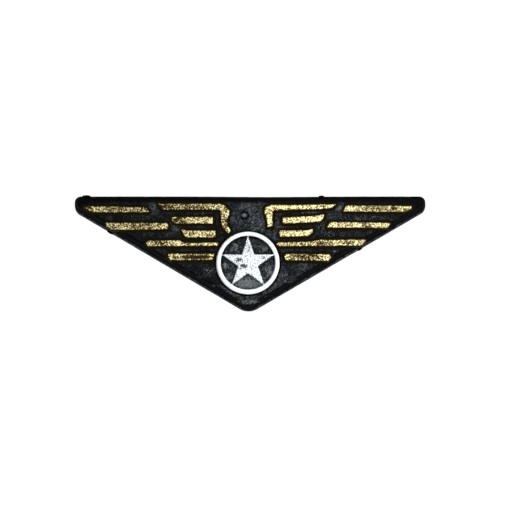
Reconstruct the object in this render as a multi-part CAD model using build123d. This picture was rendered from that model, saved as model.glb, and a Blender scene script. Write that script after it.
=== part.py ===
from build123d import *
import math
import os

# Pilot wings badge: a moulded plastic plate with hot-stamped metal foil on its raised
# bars, ring and star, and a sheet-metal brooch bar with a safety catch on its back.
#
# Millimetres. X runs across the wings, Z is up, and the front of the badge faces -Y.
# The origin is on the plane of the rear rim, behind the middle of the brooch bar.

# ---------------------------------------------------------------- driving dimensions

# Plate outline at its parting line
LEFT_END = -37.63           # tip of the left wing
RIGHT_END = 38.31           # tip of the right wing, a little longer than the left
TOP_EDGE = 7.68             # straight top edge
BOTTOM_POINT = -17.97       # where the two lower edges would meet
LEFT_SLOPE = 30.62          # degrees, left lower edge against the top edge
RIGHT_SLOPE = 30.35
TOP_CORNER_R = 1.3
LEFT_CORNER_R = 1.6         # under each wing tip
RIGHT_CORNER_R = 1.3
BOTTOM_CORNER_R = 3.8
FRONT_LIFT = 0.5            # lower edges of the front half, above those of the rear half
FRONT_BOTTOM_R = 1.8

# Plate section
PLATE_T = 3.4               # rear rim to front face
REAR_T = 1.7                # straight-walled rear half, up to the parting line
PARTING_STEP = 0.12         # rear half is this much smaller all round
FRONT_TAPER = 25.5          # degrees, side walls of the front half
FACE_EDGE_R = 0.2
RIM_W = 1.3                 # rear rim round the cored-out back
CORE_DEPTH = 2.0

# Relief on the front face
BAR_H = 0.5
EMBLEM_H = 0.6
RELIEF_MARGIN = 0.24        # plastic showing round each foil, at the foot of the relief
RELIEF_DRAFT = 12.0         # degrees
RELIEF_FOOT = 1.75          # roots the bar ends that run out over the tapered side walls
BAR_CORNER_R = 0.16
FOIL_T = 0.06

# Ring and star
EMBLEM_X = -0.1
EMBLEM_Z = -7.25
RING_OUTER_R = 6.75
RING_INNER_R = 5.83
RING_BORE_Z = -7.2          # the bore sits a little high, so the ring is widest at its foot
STAR_TIP_R = 6.0            # the tips run into the ring
STAR_NOTCH_R = 2.28
STAR_POINTS = 5

# Moulding marks
GATE_AT = (-0.84, 3.19)
GATE_DIMPLE_R = 0.85
GATE_DIMPLE_DEPTH = 0.15
GATE_PIP_R = 0.5
GATE_PIP_H = 0.27
EJECTOR_R = 1.5
EJECTOR_DEPTH = 0.12
EJECTORS_AT = ((-27.0, 2.6), (27.0, 2.6), (-14.0, -5.6), (14.0, -5.6), (0.0, -12.0))
NUB_T = 0.5                 # thickness of the flash nubs along the parting line
TOP_NUBS = ((-35.1, 1.8, 0.25), (15.8, 1.3, 0.22))      # X, width, height
LOWER_NUBS = ((-29.9, 1.5, 0.2), (24.0, 1.3, 0.2))

# Brooch bar, folded from one strip
SHEET_T = 0.45
STRIP_BACK = 0.15           # rear face of the strip
STRIP_FRONT = STRIP_BACK - SHEET_T
STRIP_HALF_W = 2.3
NECK_HALF_W = 1.0
NECK_L = 2.4
HINGE_X = -13.0
PIN_AXIS_Y = 2.2            # pin axis behind the rim plane
EAR_R = 1.1
EAR_GAP = 1.1               # between the two ears

# Heat stakes that hold the strip
STAKE_X = 6.0
STAKE_R = 0.9
STAKE_HOLE_R = 0.95
STAKE_HEAD_R = 1.5
STAKE_HEAD_H = 0.5
PAD_L = 30.0
PAD_W = 6.0

# Hinge rivet and pin
RIVET_R = 0.5
RIVET_HOLE_R = 0.52
RIVET_HEAD_R = 0.85
RIVET_HEAD_H = 0.35
WIRE_R = 0.45
WIRE_ROOT_R = 0.5           # the wire is upset a little where it meets the eye
EYE_CLEARANCE = 0.05
SHANK_START = 2.2           # from the hinge axis to the plain shank
SHANK_L = 20.0
POINT_L = 5.2
POINT_R = 0.05

# Safety catch: a rolled barrel with a slotted sleeve turning in it
BARREL_START = 11.5
BARREL_L = 2.5
BARREL_R = 2.2
BARREL_BORE_R = BARREL_R - SHEET_T
BARREL_GAP = 32.0           # degrees, half of the open side
SLEEVE_R = BARREL_BORE_R - 0.05
SLEEVE_BORE_R = 0.85
SLEEVE_SLOT_W = 1.5
FLANGE_R = 1.95
FLANGE_T = 0.3
FLANGE_CLEARANCE = 0.06
LEVER_ANGLE = -75.0         # degrees from +Y towards +Z, catch open
LEVER_REACH = 3.6
LEVER_W = 1.5
LEVER_T = 0.7

# Outlines of the foil bars, (X, Z), inner end of each wing nearest X = 0.
# The left wing's bars and the right wing's are not mirror images.
LEFT_BARS = (
    ((-35.6, 4.73), (-34.6, 5.12), (-22.0, 4.86), (-21.2, 3.72), (-33.5, 3.76)),
    ((-19.6, 5.95), (-18.9, 5.63), (-6.1, 5.65), (-5.0, 5.25), (-4.1, 4.33), (-4.2, 3.08),
     (-4.55, 2.3), (-4.55, 1.26), (-3.7, -0.43), (-4.4, -0.85), (-5.5, 0.27), (-5.9, 1.39),
     (-6.0, 4.07), (-6.3, 4.33), (-18.5, 4.35)),
    ((-30.7, 1.5), (-17.5, 1.44), (-17.1, 0.74), (-17.4, 0.01), (-29.3, -0.12),
     (-30.4, 0.6)),
    ((-16.5, 2.72), (-7.6, 2.79), (-7.6, 1.26), (-15.75, 1.32), (-16.4, 1.9)),
    ((-14.4, 0.14), (-13.4, -0.21), (-7.0, -0.21), (-7.0, -1.73), (-13.1, -1.75),
     (-13.9, -1.27)),
    ((-21.9, -3.0), (-21.6, -2.4), (-14.7, -2.32), (-13.8, -2.87), (-6.3, -2.81),
     (-6.7, -3.6), (-21.5, -3.65)),
    ((-17.3, -5.45), (-17.0, -5.22), (-7.3, -5.25), (-7.25, -5.6), (-7.7, -6.6),
     (-16.7, -6.7), (-17.1, -6.3)),
)
RIGHT_BARS = (
    ((21.0, 5.3), (35.1, 5.16), (35.0, 4.42), (33.6, 3.8), (20.2, 3.89)),
    ((3.65, 4.85), (4.5, 5.4), (12.0, 5.43), (19.0, 5.6), (17.9, 4.66), (15.2, 4.4),
     (5.6, 4.22), (5.2, 3.8), (5.2, 0.64), (4.0, 0.51), (3.9, 2.29), (3.4, 3.8)),
    ((17.4, 1.67), (30.6, 1.5), (29.8, 0.31), (16.7, 0.36)),
    ((7.2, 2.62), (14.8, 3.08), (16.3, 3.45), (16.1, 2.38), (15.3, 1.63), (8.3, 1.3),
     (7.3, 1.3)),
    ((6.7, -0.2), (13.0, -0.09), (14.0, 0.32), (13.7, -0.75), (12.8, -1.5), (6.9, -1.63),
     (6.5, -0.86)),
    ((5.9, -3.16), (6.4, -2.74), (13.3, -2.61), (15.3, -2.23), (25.4, -2.19),
     (24.1, -3.53), (6.5, -3.66)),
    ((7.6, -5.81), (8.1, -5.24), (17.4, -5.37), (17.8, -5.92), (17.0, -6.87),
     (7.9, -6.65)),
)


# ---------------------------------------------------------------- helpers

def facing(y):
    """Plane parallel to the badge's face at the given Y, looking towards the front."""
    return Plane.XZ.offset(-y)


def lower_edge(x):
    """Height of the rear half's lower edge at X, before its parting step, and its slope."""
    slope = math.copysign(LEFT_SLOPE if x < 0 else RIGHT_SLOPE, x)
    return BOTTOM_POINT + x * math.tan(math.radians(slope)), slope


def plate_outline(inset=0.0, lift=0.0, bottom_r=BOTTOM_CORNER_R):
    """Rounded triangle of the badge, inset all round, with its lower edges lifted."""
    corners = (
        (LEFT_END, TOP_EDGE),
        (RIGHT_END, TOP_EDGE),
        (RIGHT_END, lower_edge(RIGHT_END)[0] + lift),
        (0.0, BOTTOM_POINT + lift),
        (LEFT_END, lower_edge(LEFT_END)[0] + lift),
    )
    radii = [TOP_CORNER_R, TOP_CORNER_R, RIGHT_CORNER_R, bottom_r, LEFT_CORNER_R]
    face = make_face(FilletPolyline(*corners, radius=radii, close=True))
    if inset:
        face = offset(face, amount=-inset, kind=Kind.ARC)
    return face


def bar_outline(points, margin=0.0):
    """One bar's outline with its corners rounded, grown by a margin."""
    sharp = make_face(Polyline(*points, close=True))
    core = offset(sharp, amount=-BAR_CORNER_R, kind=Kind.INTERSECTION)
    return offset(core, amount=BAR_CORNER_R + margin, kind=Kind.ARC)


def star_outline():
    """Five-pointed star, one point up."""
    points = []
    for i in range(2 * STAR_POINTS):
        radius = STAR_TIP_R if i % 2 == 0 else STAR_NOTCH_R
        angle = math.radians(90.0 + i * 180.0 / STAR_POINTS)
        points.append((EMBLEM_X + radius * math.cos(angle), EMBLEM_Z + radius * math.sin(angle)))
    return make_face(Polyline(*points, close=True))


def emblem_outline(margin=0.0):
    """Ring with the star inside it, joined at the five tips, grown by a margin."""
    centre = Pos(EMBLEM_X, EMBLEM_Z)
    ring = centre * Circle(RING_OUTER_R + margin)
    ring = ring - Pos(EMBLEM_X, RING_BORE_Z) * Circle(RING_INNER_R - margin)
    star = star_outline()
    if margin:
        star = offset(star, amount=margin, kind=Kind.INTERSECTION)
    star = star & (centre * Circle(RING_OUTER_R - 0.1))
    return ring + star


def along_x(start, length, sketch):
    """Extrude a (Y, Z) sketch along +X."""
    return extrude(Plane.YZ.offset(start) * sketch, amount=length)


# ---------------------------------------------------------------- badge plate

def plate_blank():
    """Rear half and tapered front half, before the back is cored out."""
    rear = extrude(facing(0) * plate_outline(PARTING_STEP), amount=REAR_T)
    foot = plate_outline(lift=FRONT_LIFT, bottom_r=FRONT_BOTTOM_R)
    front = extrude(facing(-REAR_T) * foot, amount=PLATE_T - REAR_T, taper=FRONT_TAPER)
    front = fillet(front.faces().sort_by(Axis.Y)[0].edges(), FACE_EDGE_R)
    return rear + front


def plate_relief():
    """Raised bars, ring and star that carry the foil, with drafted sides."""
    face = facing(-PLATE_T)
    relief = []
    for points in LEFT_BARS + RIGHT_BARS:
        outline = bar_outline(points, RELIEF_MARGIN)
        relief.append(extrude(facing(RELIEF_FOOT - PLATE_T) * outline, amount=RELIEF_FOOT))
        relief.append(extrude(face * outline, amount=BAR_H, taper=RELIEF_DRAFT))
    outline = emblem_outline(RELIEF_MARGIN)
    relief.append(extrude(face * outline, amount=EMBLEM_H, taper=RELIEF_DRAFT))
    return relief


def flash_nubs():
    """Small leftovers of the mould's flash along the parting line."""
    places = [(x, TOP_EDGE, 0.0, width, height) for x, width, height in TOP_NUBS]
    for x, width, height in LOWER_NUBS:
        z, slope = lower_edge(x)
        places.append((x, z, slope, width, height))
    nubs = []
    for x, z, angle, width, height in places:
        outline = Pos(x, z) * Rot(0, 0, angle) * Ellipse(width / 2, height)
        nubs.append(extrude(facing(-REAR_T + NUB_T / 2) * outline, amount=NUB_T))
    return nubs


def plate_mount_pad():
    """Pad under the strip with its two heat stakes, headed over the strip."""
    pad_h = CORE_DEPTH + STRIP_FRONT
    pieces = [extrude(facing(STRIP_FRONT) * RectangleRounded(PAD_L, PAD_W, 1.2), amount=pad_h)]
    for x in (-STAKE_X, STAKE_X):
        at = Pos(x, 0)
        pieces.append(extrude(facing(STRIP_BACK) * at * Circle(STAKE_R), amount=SHEET_T))
        head = extrude(facing(STRIP_BACK + STAKE_HEAD_H) * at * Circle(STAKE_HEAD_R),
                       amount=STAKE_HEAD_H)
        rim = head.edges().filter_by(GeomType.CIRCLE).sort_by(Axis.Y)[-1]
        pieces.append(fillet(rim, 0.8 * STAKE_HEAD_H))
    return pieces


def badge_plate():
    plate = plate_blank()
    for piece in plate_relief() + flash_nubs():
        plate = plate + piece
    plate = plate - extrude(facing(0) * plate_outline(PARTING_STEP + RIM_W), amount=CORE_DEPTH)
    for piece in plate_mount_pad():
        plate = plate + piece
    dimple = facing(-PLATE_T + GATE_DIMPLE_DEPTH) * Pos(*GATE_AT) * Circle(GATE_DIMPLE_R)
    plate = plate - extrude(dimple, amount=1.0)
    pip = facing(-PLATE_T + GATE_DIMPLE_DEPTH + 0.1) * Pos(*GATE_AT) * Circle(GATE_PIP_R)
    plate = plate + extrude(pip, amount=GATE_PIP_H + 0.1)
    for x, z in EJECTORS_AT:
        mark = facing(0) * Pos(x, z) * Circle(EJECTOR_R)
        plate = plate - extrude(mark, amount=CORE_DEPTH + EJECTOR_DEPTH)
    return plate


# ---------------------------------------------------------------- foil

def foil(outline, relief_h):
    """Thin foil lying on the top of a raised shape."""
    return extrude(facing(-(PLATE_T + relief_h)) * outline, amount=FOIL_T)


# ---------------------------------------------------------------- brooch bar

def barrel():
    """Rolled barrel of the catch, open towards +Y."""
    axis = Pos(PIN_AXIS_Y, 0)
    ring = axis * Circle(BARREL_R) - axis * Circle(BARREL_BORE_R)
    reach = 2 * BARREL_R
    half = reach * math.tan(math.radians(BARREL_GAP))
    gap = make_face(Polyline((0, 0), (reach, -half), (reach, half), close=True))
    return along_x(BARREL_START, BARREL_L, ring - axis * gap)


def hinge_ears():
    """Two ears folded up at the hinge end, with the rivet hole."""
    ear = Pos(HINGE_X, PIN_AXIS_Y) * Circle(EAR_R)
    leg_h = PIN_AXIS_Y - STRIP_FRONT
    ear = ear + Pos(HINGE_X, PIN_AXIS_Y - leg_h / 2) * Rectangle(2 * EAR_R, leg_h)
    ear = ear - Pos(HINGE_X, PIN_AXIS_Y) * Circle(RIVET_HOLE_R)
    ears = []
    for z in (-EAR_GAP / 2 - SHEET_T, EAR_GAP / 2):
        ears.append(extrude(Plane.XY.offset(z) * ear, amount=SHEET_T))
    return ears


def brooch_bar():
    """Strip with necked ends, ears at the hinge and the barrel of the catch."""
    strip_start = HINGE_X - EAR_R
    strip_end = BARREL_START + BARREL_L
    mid_start = HINGE_X + NECK_L
    mid_end = BARREL_START - NECK_L / 2
    middle = Pos((mid_start + mid_end) / 2, 0) * RectangleRounded(
        mid_end - mid_start, 2 * STRIP_HALF_W, 1.2)
    neck = Pos((strip_start + strip_end) / 2, 0) * Rectangle(
        strip_end - strip_start, 2 * NECK_HALF_W)
    strip = middle + neck
    for x in (-STAKE_X, STAKE_X):
        strip = strip - Pos(x, 0) * Circle(STAKE_HOLE_R)
    bar = extrude(facing(STRIP_BACK) * strip, amount=SHEET_T)
    for ear in hinge_ears():
        bar = bar + ear
    bar = bar + barrel()
    bore = along_x(BARREL_START, BARREL_L, Pos(PIN_AXIS_Y, 0) * Circle(BARREL_BORE_R))
    return bar - bore


def hinge_rivet():
    """Rivet through the ears, a head formed at each end."""
    outside = EAR_GAP / 2 + SHEET_T
    at = Pos(HINGE_X, PIN_AXIS_Y)
    rivet = extrude(Plane.XY.offset(-outside) * at * Circle(RIVET_R), amount=2 * outside)
    for side in (-1, 1):
        head = extrude(Plane.XY.offset(side * outside) * at * Circle(RIVET_HEAD_R),
                       amount=side * RIVET_HEAD_H)
        edges = head.edges().filter_by(GeomType.CIRCLE).sort_by(Axis.Z)
        rim = edges[-1] if side > 0 else edges[0]
        rivet = rivet + fillet(rim, 0.7 * RIVET_HEAD_H)
    return rivet


def pin_stem():
    """Sprung wire: an eye round the rivet, a plain shank and a sharp point."""
    eye_r = RIVET_R + EYE_CLEARANCE + WIRE_R
    eye = Pos(HINGE_X, PIN_AXIS_Y, 0) * Torus(eye_r, WIRE_R)
    shank_end = HINGE_X + SHANK_START + SHANK_L
    axis = Pos(PIN_AXIS_Y, 0)
    shank_start = HINGE_X + SHANK_START
    root = loft([
        Plane.YZ.offset(HINGE_X + eye_r) * axis * Circle(WIRE_ROOT_R),
        Plane.YZ.offset(shank_start) * axis * Circle(WIRE_R),
    ])
    shank = along_x(shank_start, SHANK_L, axis * Circle(WIRE_R))
    point = loft([
        Plane.YZ.offset(shank_end) * axis * Circle(WIRE_R),
        Plane.YZ.offset(shank_end + POINT_L) * axis * Circle(POINT_R),
    ])
    return eye + root + shank + point


def catch_sleeve():
    """Slotted sleeve that turns in the barrel, flanged at both ends, with a lever."""
    axis = Pos(PIN_AXIS_Y, 0)
    inner_x = BARREL_START - FLANGE_CLEARANCE - FLANGE_T
    outer_x = BARREL_START + BARREL_L + FLANGE_CLEARANCE
    body = along_x(inner_x, outer_x + LEVER_T - inner_x, axis * Circle(SLEEVE_R))
    body = body + along_x(inner_x, FLANGE_T, axis * Circle(FLANGE_R))
    body = body + along_x(outer_x, LEVER_T, axis * Circle(FLANGE_R))
    blade = Pos(LEVER_REACH / 2, 0) * RectangleRounded(LEVER_REACH, LEVER_W, 0.5)
    lever = along_x(outer_x, LEVER_T, axis * Rot(0, 0, LEVER_ANGLE) * blade)
    sleeve = body + lever
    cut_x = inner_x - 1
    cut_l = outer_x + LEVER_T + 1 - cut_x
    sleeve = sleeve - along_x(cut_x, cut_l, axis * Circle(SLEEVE_BORE_R))
    slot = Pos(LEVER_REACH / 2, 0) * Rectangle(LEVER_REACH, SLEEVE_SLOT_W)
    return sleeve - along_x(cut_x, cut_l, axis * slot)


# ---------------------------------------------------------------- write the nodes

def main():
    nodes = {"badge_plate": badge_plate()}
    for side, bars in (("left", LEFT_BARS), ("right", RIGHT_BARS)):
        for number, points in enumerate(bars, start=1):
            nodes[f"gold_foil_{side}_{number}"] = foil(bar_outline(points), BAR_H)
    nodes["silver_foil_emblem"] = foil(emblem_outline(), EMBLEM_H)
    nodes["brooch_bar"] = brooch_bar()
    nodes["hinge_rivet"] = hinge_rivet()
    nodes["pin_stem"] = pin_stem()
    nodes["catch_sleeve"] = catch_sleeve()
    os.makedirs("parts", exist_ok=True)
    for name, shape in nodes.items():
        export_step(shape, f"parts/{name}.step")


main()
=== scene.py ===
import math

import bmesh
import bpy
import numpy as np
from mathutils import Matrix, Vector, noise


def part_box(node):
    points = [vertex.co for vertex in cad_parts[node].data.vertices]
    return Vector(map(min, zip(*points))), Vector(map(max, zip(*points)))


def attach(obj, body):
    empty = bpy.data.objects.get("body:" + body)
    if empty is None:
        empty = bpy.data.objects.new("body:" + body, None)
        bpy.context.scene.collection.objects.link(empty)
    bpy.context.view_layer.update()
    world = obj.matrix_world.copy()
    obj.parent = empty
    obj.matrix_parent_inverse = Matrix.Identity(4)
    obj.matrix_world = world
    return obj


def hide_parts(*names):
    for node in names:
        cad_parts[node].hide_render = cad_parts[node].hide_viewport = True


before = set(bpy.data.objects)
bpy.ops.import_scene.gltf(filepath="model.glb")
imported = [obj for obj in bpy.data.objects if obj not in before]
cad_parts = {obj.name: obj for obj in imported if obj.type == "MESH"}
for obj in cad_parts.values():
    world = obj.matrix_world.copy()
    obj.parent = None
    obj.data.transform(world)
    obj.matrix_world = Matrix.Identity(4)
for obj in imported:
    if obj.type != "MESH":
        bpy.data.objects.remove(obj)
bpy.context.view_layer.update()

# Pilot wings badge: black moulded plastic with hot-stamped gold and silver foil on its
# raised bars, ring and star, and a nickel-plated brooch bar on its back.
# Metres, in the frame of the CAD model: the front faces -Y and Z is up.

MM = 0.001
WELD = 0.0005 * MM
ROOT = "badge"

# Planes of the moulding, and how near a point has to be to count as on one.
BAR_H = 0.5 * MM
BAR_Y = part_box("gold_foil_left_1")[1].y      # top of the raised bars, under their foil
FACE_Y = BAR_Y + BAR_H                       # flat front face of the moulding
LEDGE_Y = -1.7 * MM                          # front plane of the rear half
TOP_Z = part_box("badge_plate")[1].z
NEAR_FACE = 0.05 * MM
NEAR_LEDGE = 0.04 * MM
FACES_BACK = 0.3                             # least Y of a normal that faces back
FLAT_WITHIN = 0.8                            # degrees between faces that count as one flat

# Spacing of the cuts that give the surfaces enough points.
PLATE_CELL = 0.40 * MM
FOIL_CELL = 0.16 * MM
FIRST_CUT = 0.63                    # where the first cut falls, as a share of the spacing

# Widths of the broken edges, and the turns in degrees from which an edge is broken.
MOULDED_TURN = 28.0
PRESSED_TURN = 35.0
PLATE_EDGE = 0.06 * MM
PRESSED_EDGE = 0.05 * MM
RIVET_EDGE = 0.03 * MM
WIRE_EDGE = 0.02 * MM

# Unevenness of the moulding, as (wavelength, seed, size).
PLATE_BROAD = (5.0 * MM, 3.0, 0.030 * MM)
PLATE_FINE = (1.1 * MM, 8.0, 0.014 * MM)
PLATE_ACROSS = (1.6 * MM, 21.0, 0.022 * MM)
PLATE_UP = (1.6 * MM, 34.0, 0.022 * MM)

# Foil: how its rim is pressed down and wanders, and how its face crinkles.
PRESSED_BAND = 0.22 * MM
PRESSED_SHARE = 0.70                # of the foil's thickness
CRINKLE = (0.50 * MM, 5.0)          # wavelength, seed
CRINKLE_SIZE = 0.022 * MM
SMOOTHED_BY_POLISH = 0.9
WANDER_ACROSS = (0.8 * MM, 13.0)    # wavelength, seed
WANDER_UP = (0.8 * MM, 27.0)
GOLD_WANDER = 0.04 * MM
SILVER_WANDER = 0.025 * MM
# Towards its rim the foil is darker and more flecked: partly rubbing, partly painted shade.
RIM_WEAR_AND_SHADE = 0.75
RIM_WEAR_AND_SHADE_FADE = 0.15 * MM
RING_BAND = 1.2 * MM                # width of the emblem's ring, which is polished
RING_BAND_FADE = 0.3 * MM

GOLD_FOILS = [f"gold_foil_{side}_{n}" for side in ("left", "right") for n in range(1, 8)]

# Places where the foil has rubbed off or missed, and broad patches of painted shade that darken
# the left bars, parts of the right bars and the star's arms as the light falls: (x, z, half
# width, half height, strength), in millimetres, strength 1 for almost bare plastic.
WEAR_AND_SHADE = {
    "gold_foil_left_1": ((-34.6, 4.6, 1.6, 0.9, 0.62), (-28.0, 4.4, 7.0, 1.2, 0.50),
                         (-23.0, 4.4, 1.6, 0.8, 0.58)),
    "gold_foil_left_2": ((-12.5, 5.0, 8.0, 1.0, 0.54), (-17.5, 5.0, 3.2, 0.7, 0.68),
                         (-12.0, 4.8, 5.0, 0.4, 0.60), (-5.0, 4.6, 0.8, 0.8, 0.56),
                         (-5.0, 1.4, 1.3, 2.2, 0.52)),
    "gold_foil_left_3": ((-24.0, 0.7, 8.0, 1.0, 0.50), (-29.0, 0.6, 1.2, 0.9, 0.60)),
    "gold_foil_left_4": ((-15.0, 2.0, 1.9, 0.9, 0.66), (-9.2, 1.8, 0.6, 0.5, 0.55),
                         (-12.0, 2.0, 3.0, 0.9, 0.30)),
    "gold_foil_left_5": ((-12.4, -0.9, 1.4, 0.7, 0.52), (-8.6, -1.2, 1.6, 0.7, 0.44)),
    "gold_foil_left_6": ((-18.6, -3.0, 2.6, 0.6, 0.64), (-12.0, -3.2, 5.5, 0.7, 0.34)),
    "gold_foil_left_7": ((-11.2, -6.0, 3.6, 0.45, 0.95), (-15.8, -6.0, 0.9, 0.6, 0.55)),
    "gold_foil_right_1": ((27.0, 4.5, 6.0, 1.2, 0.50), (31.2, 4.5, 1.6, 0.7, 0.62),
                          (34.2, 4.4, 1.5, 0.6, 0.5)),
    "gold_foil_right_2": ((16.2, 5.1, 2.0, 0.6, 0.42), (4.4, 3.3, 0.8, 1.1, 0.30)),
    "gold_foil_right_3": ((25.3, 0.9, 1.2, 0.7, 0.60), (20.0, 0.9, 3.5, 0.9, 0.36)),
    "gold_foil_right_4": ((10.5, 1.9, 2.0, 0.6, 0.12),),
    "gold_foil_right_5": ((8.8, -0.9, 1.0, 0.6, 0.30),),
    "gold_foil_right_6": ((8.5, -3.1, 3.0, 0.5, 0.38), (13.0, -3.0, 8.0, 0.9, 0.40),
                          (15.8, -3.0, 2.8, 0.7, 0.58), (21.5, -2.9, 2.4, 0.6, 0.50)),
    "gold_foil_right_7": ((12.5, -6.0, 4.6, 1.0, 0.62),),
    "silver_foil_emblem": ((-2.0, -6.6, 0.8, 0.5, 0.86), (-1.0, -7.9, 0.9, 0.6, 0.82),
                           (-1.6, -8.5, 0.7, 0.3, 0.5), (0.0, -4.2, 0.9, 1.9, 0.46),
                           (-3.6, -6.0, 1.4, 0.5, 0.30), (0.9, -8.2, 1.2, 0.9, 0.34),
                           (3.2, -6.2, 1.8, 0.7, 0.44), (-2.5, -10.6, 0.8, 1.0, 0.36),
                           (-0.1, -7.2, 2.6, 2.4, 0.26)),
}

# Pale scuffs and traces of silver film on the black plastic, in the same terms; the gate pip and
# the spots along the lower edges of the face are painted highlights.
SCUFFS_AND_HIGHLIGHTS = (
    (-0.85, 3.19, 0.50, 0.45, 1.0),                                     # gate pip, painted highlight
    (0.0, -11.7, 3.4, 1.5, 0.95), (2.6, -11.0, 1.2, 0.8, 0.8),          # under the star
    (-4.9, -7.7, 0.6, 0.7, 0.9), (-4.2, -10.2, 0.7, 0.8, 0.8),          # left windows
    (-2.6, -3.6, 1.1, 0.9, 0.65), (-3.9, -4.6, 0.8, 0.5, 0.5),
    (3.3, -4.2, 1.3, 0.9, 0.60), (4.7, -9.2, 1.0, 1.6, 0.78),           # right windows
    (0.0, -15.6, 3.2, 0.45, 0.6), (4.5, -14.6, 1.8, 0.5, 0.45),         # bottom tip and lower edges, painted highlights
    (9.8, -11.0, 2.2, 0.5, 0.45), (8.0, -10.0, 0.8, 0.4, 0.5),
    (18.4, -4.6, 0.5, 0.3, 0.75),
    (20.0, 4.8, 1.3, 0.9, 0.55), (13.6, 3.9, 2.2, 0.3, 0.65),           # right wing
    (15.6, 0.9, 1.1, 1.0, 0.45), (6.0, 0.9, 0.5, 1.5, 0.40),
    (25.0, 2.6, 6.0, 0.7, 0.28), (18.0, -0.9, 3.0, 0.7, 0.30),
    (2.0, 4.2, 1.6, 1.6, 0.28), (1.6, 0.8, 2.6, 1.4, 0.33),             # over the ring
    (-10.0, 3.7, 2.5, 0.35, 0.34), (-15.5, 0.6, 0.8, 0.8, 0.30),        # left wing
    (-13.8, -8.9, 0.7, 0.3, 0.55), (-8.2, -8.8, 1.6, 0.9, 0.38),
    (-11.0, -10.3, 1.4, 0.4, 0.30), (-8.0, -12.1, 0.9, 0.3, 0.5),
    (-17.6, -6.5, 0.25, 0.9, 0.45),
)
# Painted sheen on the open face, where it is strongest, in the same terms: a dull bluish grey in
# place of the face's mottled reflection of the light.
PAINTED_SHEEN_SPOTS = (
    (0.5, 2.5, 7.0, 4.5, 1.0), (7.5, -1.5, 4.0, 3.5, 0.90), (18.8, 4.0, 2.5, 2.2, 1.0),
    (0.0, -14.5, 7.0, 3.0, 1.65), (8.5, -10.0, 5.0, 3.0, 1.75), (-9.0, -9.5, 4.0, 2.0, 0.40),
    (0.0, -7.25, 6.0, 6.0, 1.0), (-16.5, 0.5, 2.5, 2.0, 0.8), (27.0, -1.0, 4.0, 1.2, 0.65),
    (-20.5, 4.2, 1.5, 2.5, 0.8),
)
# Painted sheen: the least on the open face, and the amounts on the back, on the outer wall of
# the rear half and on its ledge, which is a painted highlight.
PAINTED_SHEEN_LEAST = 0.36
PAINTED_SHEEN_BACK = 0.45
PAINTED_SHEEN_LEDGE = 0.80
PAINTED_SHEEN_REAR_WALL = 0.36
SPOT_FALLOFF = 0.7

# Painted sheen grows with the distance from these, as (start, width) in millimetres: none up to
# the start, whole a width further on. The black left by the relief, the top edge and the tips is
# painted shade.
PAINTED_SHEEN_FROM_RELIEF = (0.02, 0.28)
PAINTED_SHEEN_FROM_TOP = (0.3, 0.7)
PAINTED_SHEEN_FROM_TIP = (0.0, 5.0)
WINDOW_R = 5.8 * MM                 # plastic seen between the ring and the star

# Trace of gold on the plastic round a bar, as (start, width) in millimetres: whole up to the
# start, gone a width further on.
GILT_FADE = (0.26, 0.22)
SCUFF_AND_HIGHLIGHT_DEPTH = 0.35 * MM             # scuffs and painted highlights reach this far behind the face

# The top edge bows in a little round this place, as (x, half width, depth) in millimetres.
TOP_BOW = (4.5, 10.0, 0.13)
TOP_BAND = 1.6 * MM                 # how far down the bow reaches


# ---------------------------------------------------------------- mesh helpers

def cad_bmesh(node):
    """The CAD node's surface with its seams welded and its flat regions merged."""
    bm = bmesh.new()
    bm.from_mesh(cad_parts[node].data)
    bmesh.ops.remove_doubles(bm, verts=bm.verts, dist=WELD)
    bmesh.ops.dissolve_limit(bm, angle_limit=math.radians(FLAT_WITHIN), verts=bm.verts,
                             edges=bm.edges, use_dissolve_boundaries=False)
    return bm


def round_edges(bm, width, sharper_than):
    """Rounds every edge that turns by more than the given angle in degrees."""
    limit = math.radians(sharper_than)
    sharp = [e for e in bm.edges if len(e.link_faces) == 2 and e.calc_face_angle(0.0) > limit]
    bmesh.ops.bevel(bm, geom=sharp, offset=width, offset_type="OFFSET", segments=2,
                    profile=0.5, affect="EDGES", clamp_overlap=False)


def cut_planes(bm, faces, axis, places):
    """Cuts the faces at each place along an axis: the middle place first, then each half."""
    if not places or not faces:
        return
    middle = len(places) // 2
    point, normal = Vector((0, 0, 0)), Vector((0, 0, 0))
    point[axis] = places[middle]
    normal[axis] = 1.0
    edges = {e for f in faces for e in f.edges}
    verts = {v for f in faces for v in f.verts}
    geom = sorted(verts, key=lambda v: v.index) + sorted(edges, key=lambda e: e.index) + faces
    cut = bmesh.ops.bisect_plane(bm, geom=geom, dist=WELD, plane_co=point, plane_no=normal)
    for elements in (bm.verts, bm.edges, bm.faces):
        elements.index_update()
    faces = [g for g in cut["geom"] if isinstance(g, bmesh.types.BMFace)]
    below = [f for f in faces if f.calc_center_median()[axis] < places[middle]]
    above = [f for f in faces if f.calc_center_median()[axis] >= places[middle]]
    cut_planes(bm, below, axis, places[:middle])
    cut_planes(bm, above, axis, places[middle + 1:])


def cut_grid(bm, cell):
    """Cuts the surface along evenly spaced X and Z planes, so that it can carry fine relief."""
    bmesh.ops.triangulate(bm, faces=bm.faces)
    for axis in (0, 2):
        values = [v.co[axis] for v in bm.verts]
        low, high = min(values), max(values)
        places = [low + (i + FIRST_CUT) * cell for i in range(int((high - low) / cell))]
        for elements in (bm.verts, bm.edges, bm.faces):
            elements.index_update()
        cut_planes(bm, bm.faces[:], axis, places)


def ripple(co, wavelength, seed, size):
    """Smooth noise at a point, from minus the size to plus the size."""
    return size * noise.noise(co / wavelength + Vector((seed, 2.3 * seed, -1.7 * seed)))


def rise(distance, start, width):
    """0 up to the start, then straight up to 1 over the width."""
    return np.clip((distance - start) / width, 0.0, 1.0)


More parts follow.
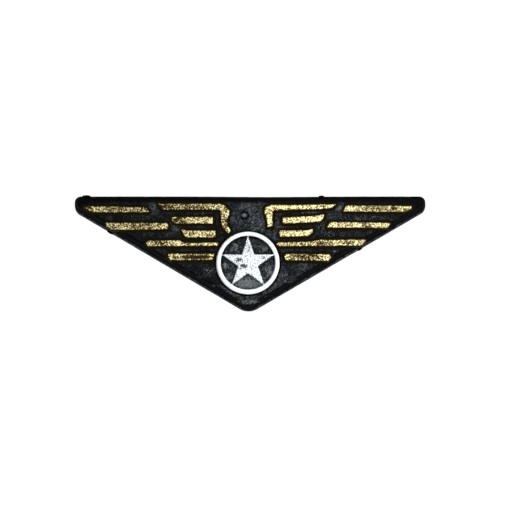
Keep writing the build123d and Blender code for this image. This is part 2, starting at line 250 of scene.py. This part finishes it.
def flat_rims(bm, y):
    """2-D segments (x, z) round the flat regions that lie in the plane at the given Y."""
    starts, ends = [], []
    for e in bm.edges:
        a, b = e.verts
        in_plane = max(abs(a.co.y - y), abs(b.co.y - y)) < 2 * WELD
        flat = [abs(f.normal.y) > 0.999 for f in e.link_faces]
        if in_plane and any(flat) and not all(flat):
            starts.append((a.co.x, a.co.z))
            ends.append((b.co.x, b.co.z))
    return np.array(starts), np.array(ends)


def distance_to_segments(points, starts, ends):
    """Least distance from each 2-D point to a set of segments."""
    run = ends - starts
    length2 = np.maximum((run ** 2).sum(1), 1e-18)
    best = np.full(len(points), 1e9)
    for start, vector, l2 in zip(starts, run, length2):
        t = np.clip(((points - start) @ vector) / l2, 0.0, 1.0)
        gap = np.linalg.norm(points - (start + t[:, None] * vector), axis=1)
        best = np.minimum(best, gap)
    return best


def weighted_normals(mesh):
    """Vertex normals led by the largest faces, so flats stay flat up to their rounded edges."""
    mesh.calc_loop_triangles()
    corners = np.empty(3 * len(mesh.loop_triangles), dtype=np.int32)
    mesh.loop_triangles.foreach_get("vertices", corners)
    corners = corners.reshape(-1, 3)
    places = np.empty(3 * len(mesh.vertices))
    mesh.vertices.foreach_get("co", places)
    a, b, c = (places.reshape(-1, 3)[corners[:, k]] / MM for k in range(3))
    facing = np.cross(b - a, c - a)
    facing *= np.linalg.norm(facing, axis=1)[:, None]
    total = np.zeros((len(mesh.vertices), 3))
    for k in range(3):
        np.add.at(total, corners[:, k], facing)
    total /= np.maximum(np.linalg.norm(total, axis=1), 1e-12)[:, None]
    mesh.normals_split_custom_set_from_vertices(total.tolist())


def put_attribute(piece, name, values):
    attribute = piece.data.attributes.new(name, "FLOAT", "POINT")
    attribute.data.foreach_set("value", np.asarray(values, dtype=np.float32))


def spots_at(spots, x, z):
    """Strength of a table of soft elliptical spots at points in metres."""
    amount = np.zeros(len(x))
    for cx, cz, half_w, half_h, strength in spots:
        r2 = ((x / MM - cx) / half_w) ** 2 + ((z / MM - cz) / half_h) ** 2
        amount = np.maximum(amount, strength * np.exp(-SPOT_FALLOFF * r2))
    return amount


def emblem_centre():
    """Middle of the ring, (x, z)."""
    low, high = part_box("silver_foil_emblem")
    return np.array([(low.x + high.x) / 2, (low.z + high.z) / 2])


def put_piece(bm, name, material, body, nodes):
    """Turns the bmesh into a shaded object that rides on a body and stands for its nodes."""
    mesh = bpy.data.meshes.new(name)
    bmesh.ops.recalc_face_normals(bm, faces=bm.faces)
    for face in bm.faces:
        face.smooth = True
    bm.to_mesh(mesh)
    bm.free()
    weighted_normals(mesh)
    mesh.materials.append(material)
    piece = bpy.data.objects.new(name, mesh)
    bpy.context.scene.collection.objects.link(piece)
    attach(piece, body)
    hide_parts(*nodes)
    return piece


# ---------------------------------------------------------------- material helpers

class Nodes:
    """A material's node tree, with short calls for the nodes used here."""

    def __init__(self, name):
        self.material = bpy.data.materials.new(name)
        self.material.use_nodes = True
        self.tree = self.material.node_tree
        self.shader = self.tree.nodes["Principled BSDF"]
        self.coords = self.tree.nodes.new("ShaderNodeTexCoord").outputs["Object"]

    def link(self, source, target):
        self.tree.links.new(source, target)

    def noise(self, size, detail=2.0, rough=0.5, stretch=None):
        """Noise whose features are about the given size in metres."""
        node = self.tree.nodes.new("ShaderNodeTexNoise")
        node.inputs["Scale"].default_value = 1.0 / size
        node.inputs["Detail"].default_value = detail
        node.inputs["Roughness"].default_value = rough
        coords = self.coords
        if stretch:
            mapping = self.tree.nodes.new("ShaderNodeMapping")
            mapping.inputs["Scale"].default_value = stretch
            self.link(coords, mapping.inputs["Vector"])
            coords = mapping.outputs["Vector"]
        self.link(coords, node.inputs["Vector"])
        return node.outputs["Fac"]

    def spread(self, value, low, high, to_low=0.0, to_high=1.0):
        """Maps a range of values to another, clamped and with soft ends."""
        node = self.tree.nodes.new("ShaderNodeMapRange")
        node.interpolation_type = "SMOOTHSTEP"
        self.link(value, node.inputs["Value"])
        node.inputs["From Min"].default_value = low
        node.inputs["From Max"].default_value = high
        node.inputs["To Min"].default_value = to_low
        node.inputs["To Max"].default_value = to_high
        return node.outputs["Result"]

    def math(self, operation, a, b):
        node = self.tree.nodes.new("ShaderNodeMath")
        node.operation = operation
        for socket, value in zip(node.inputs, (a, b)):
            if isinstance(value, (int, float)):
                socket.default_value = value
            else:
                self.link(value, socket)
        return node.outputs["Value"]

    def mix(self, factor, a, b):
        """Blend of two colours, each an RGB triple or a socket."""
        node = self.tree.nodes.new("ShaderNodeMix")
        node.data_type = "RGBA"
        self.link(factor, node.inputs["Factor"])
        for socket, value in ((node.inputs["A"], a), (node.inputs["B"], b)):
            if isinstance(value, tuple):
                socket.default_value = (*value, 1.0)
            else:
                self.link(value, socket)
        return node.outputs["Result"]

    def attribute(self, name):
        node = self.tree.nodes.new("ShaderNodeAttribute")
        node.attribute_name = name
        return node.outputs["Fac"]

    def bump(self, height, depth, after=None):
        """Bump from a height socket, depth in metres."""
        node = self.tree.nodes.new("ShaderNodeBump")
        node.inputs["Strength"].default_value = 1.0
        node.inputs["Distance"].default_value = depth
        self.link(height, node.inputs["Height"])
        if after is not None:
            self.link(after, node.inputs["Normal"])
        self.link(node.outputs["Normal"], self.shader.inputs["Normal"])
        return node.outputs["Normal"]

    def set(self, **values):
        """Values or sockets for the shader, spaces in names written as underscores."""
        for name, value in values.items():
            socket = self.shader.inputs[name.replace("_", " ")]
            if isinstance(value, bpy.types.NodeSocket):
                self.link(value, socket)
            else:
                socket.default_value = value
        return self.material


def black_plastic():
    """Dull black moulding: mottled painted sheen, pale scuffs with painted highlights, and a
    trace of gold where marked.
    """
    m = Nodes("black_plastic")
    speckle = m.noise(0.32 * MM, detail=3.0, rough=0.7)
    cloud = m.noise(2.6 * MM, detail=3.0)
    tint = m.noise(1.3 * MM, detail=1.0)
    scuff_and_highlight = m.attribute("scuff_and_highlight")
    black = m.mix(m.spread(tint, 0.40, 0.60), (0.0018, 0.0025, 0.0032), (0.0032, 0.0032, 0.0036))
    # Painted sheen: a bluish grey mixed over the black in mottled patches, in place of the
    # face's reflection of the light.
    painted_sheen = m.mix(m.spread(tint, 0.42, 0.58), (0.148, 0.172, 0.228), (0.172, 0.193, 0.198))
    sheen_share = m.attribute("sheen_share")
    amount = m.math("MULTIPLY", m.spread(speckle, 0.40, 0.68, 0.12, 1.0),
                    m.spread(cloud, 0.34, 0.66, 0.30, 1.0))
    amount = m.math("MULTIPLY", amount, m.spread(sheen_share, 0.0, 1.0, 0.005, 1.0))
    base = m.mix(amount, black, painted_sheen)
    level = m.math("ADD", speckle, m.math("MULTIPLY", scuff_and_highlight, 0.42))
    # Pale film of scuffs and silver traces, and painted highlights on the gate pip and along the
    # lower edges.
    film = m.math("MULTIPLY", m.spread(level, 0.58, 1.02), m.spread(scuff_and_highlight, 0.03, 0.25))
    colour = m.mix(film, base, (0.33, 0.37, 0.37))
    gilt = m.math("MULTIPLY", m.attribute("gilt"), m.spread(speckle, 0.35, 0.60, 0.35, 1.0))
    colour = m.mix(gilt, colour, (0.024, 0.016, 0.003))
    roughness = m.spread(cloud, 0.35, 0.65, 0.30, 0.46)
    relief = m.spread(sheen_share, 0.0, 0.5, 0.15, 1.0)
    first = m.bump(m.math("MULTIPLY", m.noise(1.2 * MM, detail=2.0), relief), 0.080 * MM)
    m.bump(m.math("MULTIPLY", speckle, relief), 0.090 * MM, after=first)
    return m.set(Base_Color=colour, Roughness=roughness, Specular_IOR_Level=0.02)


def foil_material(name, bright, painted_shade, bare, crinkle_depth, missing_from):
    """Stamped foil: crinkled, with painted shade in the pits of its grain, and flecks where it
    missed the plastic.

    The polish attribute marks places that are smooth and whole; the other marks rubbed, flecked
    places and places darkened with painted shade.
    """
    m = Nodes(name)
    grain = m.noise(0.29 * MM, detail=2.0, rough=0.6)
    patch = m.noise(0.40 * MM, detail=3.0, rough=0.7)
    wear_and_shade = m.attribute("wear_and_shade")
    polish = m.attribute("polish")
    # Painted shade: the marked patches and the rim shift the colour towards the dark one.
    shade = m.math("SUBTRACT", grain, m.math("MULTIPLY", wear_and_shade, 0.20))
    shade = m.math("ADD", shade, m.math("MULTIPLY", polish, 0.40))
    # Painted shade: the dark colour fills the low pits of the crinkled grain.
    metal = m.mix(m.spread(shade, 0.37, 0.50), painted_shade, bright)
    level = m.math("ADD", patch, m.math("MULTIPLY", wear_and_shade, 0.45))
    level = m.math("SUBTRACT", level, m.math("MULTIPLY", polish, 0.40))
    missing = m.spread(level, missing_from, missing_from + 0.10)
    crinkle = m.math("MULTIPLY", grain, m.math("SUBTRACT", 1.0, polish))
    m.bump(crinkle, crinkle_depth)
    shine = m.math("SUBTRACT", 1.0, missing)
    rough = m.spread(grain, 0.3, 0.7, 0.42, 0.28)
    rough = m.math("ADD", rough, m.math("MULTIPLY", polish, 0.10))
    return m.set(Base_Color=m.mix(missing, metal, bare), Metallic=shine, Roughness=rough,
                 Specular_IOR_Level=0.08)


def plated_steel():
    """Nickel plate over pressed steel, with fine drawing lines along X."""
    m = Nodes("nickel_plated_steel")
    lines = m.noise(0.16 * MM, detail=3.0, stretch=(0.06, 1.0, 1.0))
    stain = m.noise(2.2 * MM, detail=3.0, rough=0.6)
    colour = m.mix(m.spread(stain, 0.42, 0.72), (0.66, 0.64, 0.60), (0.50, 0.47, 0.42))
    m.bump(lines, 0.004 * MM)
    return m.set(Base_Color=colour, Metallic=1.0,
                 Roughness=m.spread(stain, 0.3, 0.7, 0.20, 0.34))


def pin_wire():
    """Bright drawn wire."""
    m = Nodes("nickel_plated_wire")
    lines = m.noise(0.10 * MM, detail=2.0, stretch=(0.04, 1.0, 1.0))
    colour = m.mix(m.spread(lines, 0.35, 0.7), (0.70, 0.69, 0.66), (0.58, 0.56, 0.52))
    m.bump(lines, 0.003 * MM)
    return m.set(Base_Color=colour, Metallic=1.0,
                 Roughness=m.spread(lines, 0.3, 0.7, 0.16, 0.28))


# ---------------------------------------------------------------- badge plate

def build_plate(material):
    """The moulding, with rounded edges and the slight unevenness of a cheap moulding."""
    bm = cad_bmesh("badge_plate")
    bm.normal_update()
    face_rims = flat_rims(bm, FACE_Y)
    bar_rims = flat_rims(bm, BAR_Y)
    round_edges(bm, PLATE_EDGE, MOULDED_TURN)
    cut_grid(bm, PLATE_CELL)
    bm.normal_update()
    at = np.array([v.co[:] for v in bm.verts])
    facing_y = np.array([v.normal.y for v in bm.verts])
    for v in bm.verts:
        bow = top_bow(v.co)
        v.co.y += ripple(v.co, *PLATE_BROAD) + ripple(v.co, *PLATE_FINE)
        v.co.x += ripple(v.co, *PLATE_ACROSS)
        v.co.z += ripple(v.co, *PLATE_UP) - bow
    piece = put_piece(bm, "badge_moulding", material, ROOT, ["badge_plate"])
    # Painted sheen over the face and the rear half, painted shade where it is kept off, and a
    # painted highlight on the ledge.
    painted_sheen = np.maximum(front_painted_sheen(at, *face_rims), rear_painted_sheen(at, facing_y))
    put_attribute(piece, "scuff_and_highlight", scuffs_and_highlights_at(at))
    put_attribute(piece, "sheen_share", painted_sheen)
    put_attribute(piece, "gilt", gilt_at(at, *bar_rims))


def top_bow(co):
    """How far down the top edge's bow moves a point."""
    bow_x, half_width, depth = TOP_BOW
    bow = depth * MM * math.exp(-SPOT_FALLOFF * ((co.x / MM - bow_x) / half_width) ** 2)
    return bow * max(0.0, 1.0 - (TOP_Z - co.z) / TOP_BAND)


def scuffs_and_highlights_at(at):
    """Scuffs and painted highlights at each point, on the front only."""
    return spots_at(SCUFFS_AND_HIGHLIGHTS, at[:, 0], at[:, 2]) * (at[:, 1] < FACE_Y + SCUFF_AND_HIGHLIGHT_DEPTH)


def front_painted_sheen(at, starts, ends):
    """How much painted sheen the plastic has at each point: least by the relief, the top edge
    and the tips, which stay black as painted shade.
    """
    points = at[:, [0, 2]]
    low, high = starts.min(axis=0), starts.max(axis=0)
    from_relief = distance_to_segments(points, starts, ends) / MM
    from_top = (high[1] - points[:, 1]) / MM
    from_tip = np.minimum(points[:, 0] - low[0], high[0] - points[:, 0]) / MM
    clear = rise(from_relief, *PAINTED_SHEEN_FROM_RELIEF) * rise(from_top, *PAINTED_SHEEN_FROM_TOP)
    clear *= rise(from_tip, *PAINTED_SHEEN_FROM_TIP)
    clear[abs(at[:, 1] - FACE_Y) > NEAR_FACE] = 0.0
    inside = np.linalg.norm(points - emblem_centre(), axis=1) < WINDOW_R
    clear[inside & (at[:, 1] < FACE_Y + NEAR_FACE)] = 1.0
    return clear * np.maximum(spots_at(PAINTED_SHEEN_SPOTS, points[:, 0], points[:, 1]), PAINTED_SHEEN_LEAST)


def rear_painted_sheen(at, facing_y):
    """Painted sheen on the rear half: a painted highlight on its ledge round the front half,
    painted sheen on its outer wall and its back.
    """
    painted_sheen = np.where(at[:, 1] > LEDGE_Y + NEAR_LEDGE, PAINTED_SHEEN_REAR_WALL, 0.0)
    painted_sheen[abs(at[:, 1] - LEDGE_Y) <= NEAR_LEDGE] = PAINTED_SHEEN_LEDGE
    return np.where(facing_y > FACES_BACK, PAINTED_SHEEN_BACK, painted_sheen)


def gilt_at(at, starts, ends):
    """Trace of gold at each point on and round the bars."""
    from_bar = distance_to_segments(at[:, [0, 2]], starts, ends) / MM
    return (1.0 - rise(from_bar, *GILT_FADE)) * (at[:, 1] < FACE_Y + NEAR_FACE)


# ---------------------------------------------------------------- foil

def ring_polish(points, box):
    """1 on the emblem's ring and 0 on its star, for points (x, z) in the emblem's box."""
    from_rim = (box[1].x - box[0].x) / 2 - np.linalg.norm(points - emblem_centre(), axis=1)
    return np.clip((RING_BAND - from_rim) / RING_BAND_FADE, 0.0, 1.0)


def build_foil(node, material, wander):
    """Foil patch with a slightly wandering rim, edges pressed down and a grainy face."""
    bm = cad_bmesh(node)
    bm.normal_update()
    front = min(v.co.y for v in bm.verts)
    starts, ends = flat_rims(bm, front)
    thickness = max(v.co.y for v in bm.verts) - front
    cut_grid(bm, FOIL_CELL)
    points = np.array([(v.co.x, v.co.z) for v in bm.verts])
    rim = distance_to_segments(points, starts, ends)
    # Marked rubbing and painted shade from the table, then darker and more flecked towards the
    # rim.
    worn_and_shaded = spots_at(WEAR_AND_SHADE[node], points[:, 0], points[:, 1])
    polish = np.zeros(len(points))
    if node == "silver_foil_emblem":
        polish = ring_polish(points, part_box(node))
    worn_and_shaded = np.maximum(worn_and_shaded, RIM_WEAR_AND_SHADE * np.exp(-rim / RIM_WEAR_AND_SHADE_FADE) * (1.0 - polish))
    for v, gap, smooth in zip(bm.verts, rim, polish):
        co = v.co.copy()
        if co.y < front + 0.5 * thickness:
            pressed = max(0.0, 1.0 - gap / PRESSED_BAND) ** 2
            crinkle = CRINKLE_SIZE * (1.0 - pressed) * (1.0 - SMOOTHED_BY_POLISH * smooth)
            v.co.y += PRESSED_SHARE * thickness * pressed
            v.co.y += ripple(co, *CRINKLE, crinkle)
        v.co.x += ripple(co, *WANDER_ACROSS, wander)
        v.co.z += ripple(co, *WANDER_UP, wander)
    piece = put_piece(bm, node + "_stamped", material, ROOT, [node])
    put_attribute(piece, "wear_and_shade", worn_and_shaded)
    put_attribute(piece, "polish", polish)


# ---------------------------------------------------------------- brooch bar

def build_pressed(node, name, material, body, width):
    """A pressed or turned metal part with its edges broken."""
    bm = cad_bmesh(node)
    round_edges(bm, width, PRESSED_TURN)
    put_piece(bm, name, material, body, [node])


# ---------------------------------------------------------------- stage, light, camera

WORLD_FRONT = 0.03
WORLD_BACK = 1.0
BACK_GLOW = (0.0, 0.94, -0.34)      # where the light behind the badge is centred
GLOW_EDGE = 0.55                    # cosine of the angle from there at which the light starts
GLOW_CORE = 0.97                    # and at which it is full
SEEN_WHITE = 1.05
FLOOR_Z = -0.1
FLOOR_HALF = 0.9


def area_light(name, place, size, radiance):
    """Soft box of the given size that faces the badge."""
    data = bpy.data.lights.new(name, "AREA")
    data.shape = "RECTANGLE"
    data.size, data.size_y = size
    data.energy = radiance * math.pi * size[0] * size[1]
    lamp = bpy.data.objects.new(name, data)
    bpy.context.scene.collection.objects.link(lamp)
    lamp.location = place
    lamp.rotation_euler = (-Vector(place)).to_track_quat("-Z", "Y").to_euler()
    lamp.visible_camera = False


def studio_world():
    """White to look at; on the badge, a dim light that is stronger from behind it."""
    world = bpy.data.worlds.new("studio")
    bpy.context.scene.world = world
    world.use_nodes = True
    tree = world.node_tree
    tree.nodes.clear()
    seen = tree.nodes.new("ShaderNodeBackground")
    seen.inputs["Color"].default_value = (1, 1, 1, 1)
    seen.inputs["Strength"].default_value = SEEN_WHITE
    lit = tree.nodes.new("ShaderNodeBackground")
    lit.inputs["Color"].default_value = (1.0, 0.96, 0.91, 1)
    coords = tree.nodes.new("ShaderNodeTexCoord")
    along = tree.nodes.new("ShaderNodeVectorMath")
    along.operation = "DOT_PRODUCT"
    along.inputs[1].default_value = BACK_GLOW
    ramp = tree.nodes.new("ShaderNodeMapRange")
    ramp.inputs["From Min"].default_value = GLOW_EDGE
    ramp.inputs["From Max"].default_value = GLOW_CORE
    ramp.inputs["To Min"].default_value = WORLD_FRONT
    ramp.inputs["To Max"].default_value = WORLD_BACK
    tree.links.new(coords.outputs["Generated"], along.inputs[0])
    tree.links.new(along.outputs["Value"], ramp.inputs["Value"])
    tree.links.new(ramp.outputs["Result"], lit.inputs["Strength"])
    path = tree.nodes.new("ShaderNodeLightPath")
    mix = tree.nodes.new("ShaderNodeMixShader")
    out = tree.nodes.new("ShaderNodeOutputWorld")
    tree.links.new(path.outputs["Is Camera Ray"], mix.inputs["Fac"])
    tree.links.new(lit.outputs["Background"], mix.inputs[1])
    tree.links.new(seen.outputs["Background"], mix.inputs[2])
    tree.links.new(mix.outputs["Shader"], out.inputs["Surface"])


def pale_floor():
    """Plain pale floor well below the badge."""
    mesh = bpy.data.meshes.new("floor")
    turns = ((-1, -1), (1, -1), (1, 1), (-1, 1))
    corners = [(sx * FLOOR_HALF, sy * FLOOR_HALF, FLOOR_Z) for sx, sy in turns]
    mesh.from_pydata(corners, [], [(0, 1, 2, 3)])
    floor = bpy.data.objects.new("floor", mesh)
    bpy.context.scene.collection.objects.link(floor)
    m = Nodes("pale_floor")
    m.set(Base_Color=(0.80, 0.80, 0.80, 1.0), Roughness=0.9, Emission_Strength=0.48,
          Emission_Color=(1.0, 1.0, 1.0, 1.0))
    mesh.materials.append(m.material)


def photo_camera():
    """Long lens, a little below the badge and looking up at it."""
    lens, elevation, distance = 97.0, -9.3, 0.2974
    target = Vector((0.00141, 0.0, -0.00490))
    data = bpy.data.cameras.new("camera")
    data.lens = lens
    data.clip_start = 0.01
    camera = bpy.data.objects.new("camera", data)
    bpy.context.scene.collection.objects.link(camera)
    e = math.radians(elevation)
    back = Vector((0.0, -math.cos(e), math.sin(e)))
    camera.location = target + distance * back
    camera.rotation_euler = (-back).to_track_quat("-Z", "Y").to_euler()
    bpy.context.scene.camera = camera


# ---------------------------------------------------------------- build

plastic = black_plastic()
gold = foil_material("gold_foil", bright=(0.97, 0.87, 0.47), painted_shade=(0.13, 0.085, 0.014),
                     bare=(0.030, 0.019, 0.005), crinkle_depth=0.100 * MM, missing_from=0.68)
silver = foil_material("silver_foil", bright=(0.88, 0.91, 0.93), painted_shade=(0.34, 0.40, 0.44),
                       bare=(0.10, 0.11, 0.12), crinkle_depth=0.060 * MM, missing_from=0.70)
steel = plated_steel()
wire = pin_wire()

build_plate(plastic)
for foil_node in GOLD_FOILS:
    build_foil(foil_node, gold, GOLD_WANDER)
build_foil("silver_foil_emblem", silver, SILVER_WANDER)
build_pressed("brooch_bar", "brooch_bar_pressing", steel, ROOT, PRESSED_EDGE)
build_pressed("hinge_rivet", "hinge_rivet_turned", steel, ROOT, RIVET_EDGE)
build_pressed("pin_stem", "pin_stem_wire", wire, "pin_arm", WIRE_EDGE)
build_pressed("catch_sleeve", "catch_sleeve_turned", steel, "catch", PRESSED_EDGE)

studio_world()
pale_floor()
area_light("front_softbox", (0.085, -0.42, 0.10), (0.25, 0.30), 3.0)
for side in (-1, 1):
    area_light("side_softbox", (side * 0.46, -0.06, 0.08), (0.24, 0.24), 0.8)
    area_light("back_softbox", (side * 0.42, 0.14, 0.30), (0.28, 0.24), 0.8)
photo_camera()
bpy.context.scene.view_settings.view_transform = "Standard"
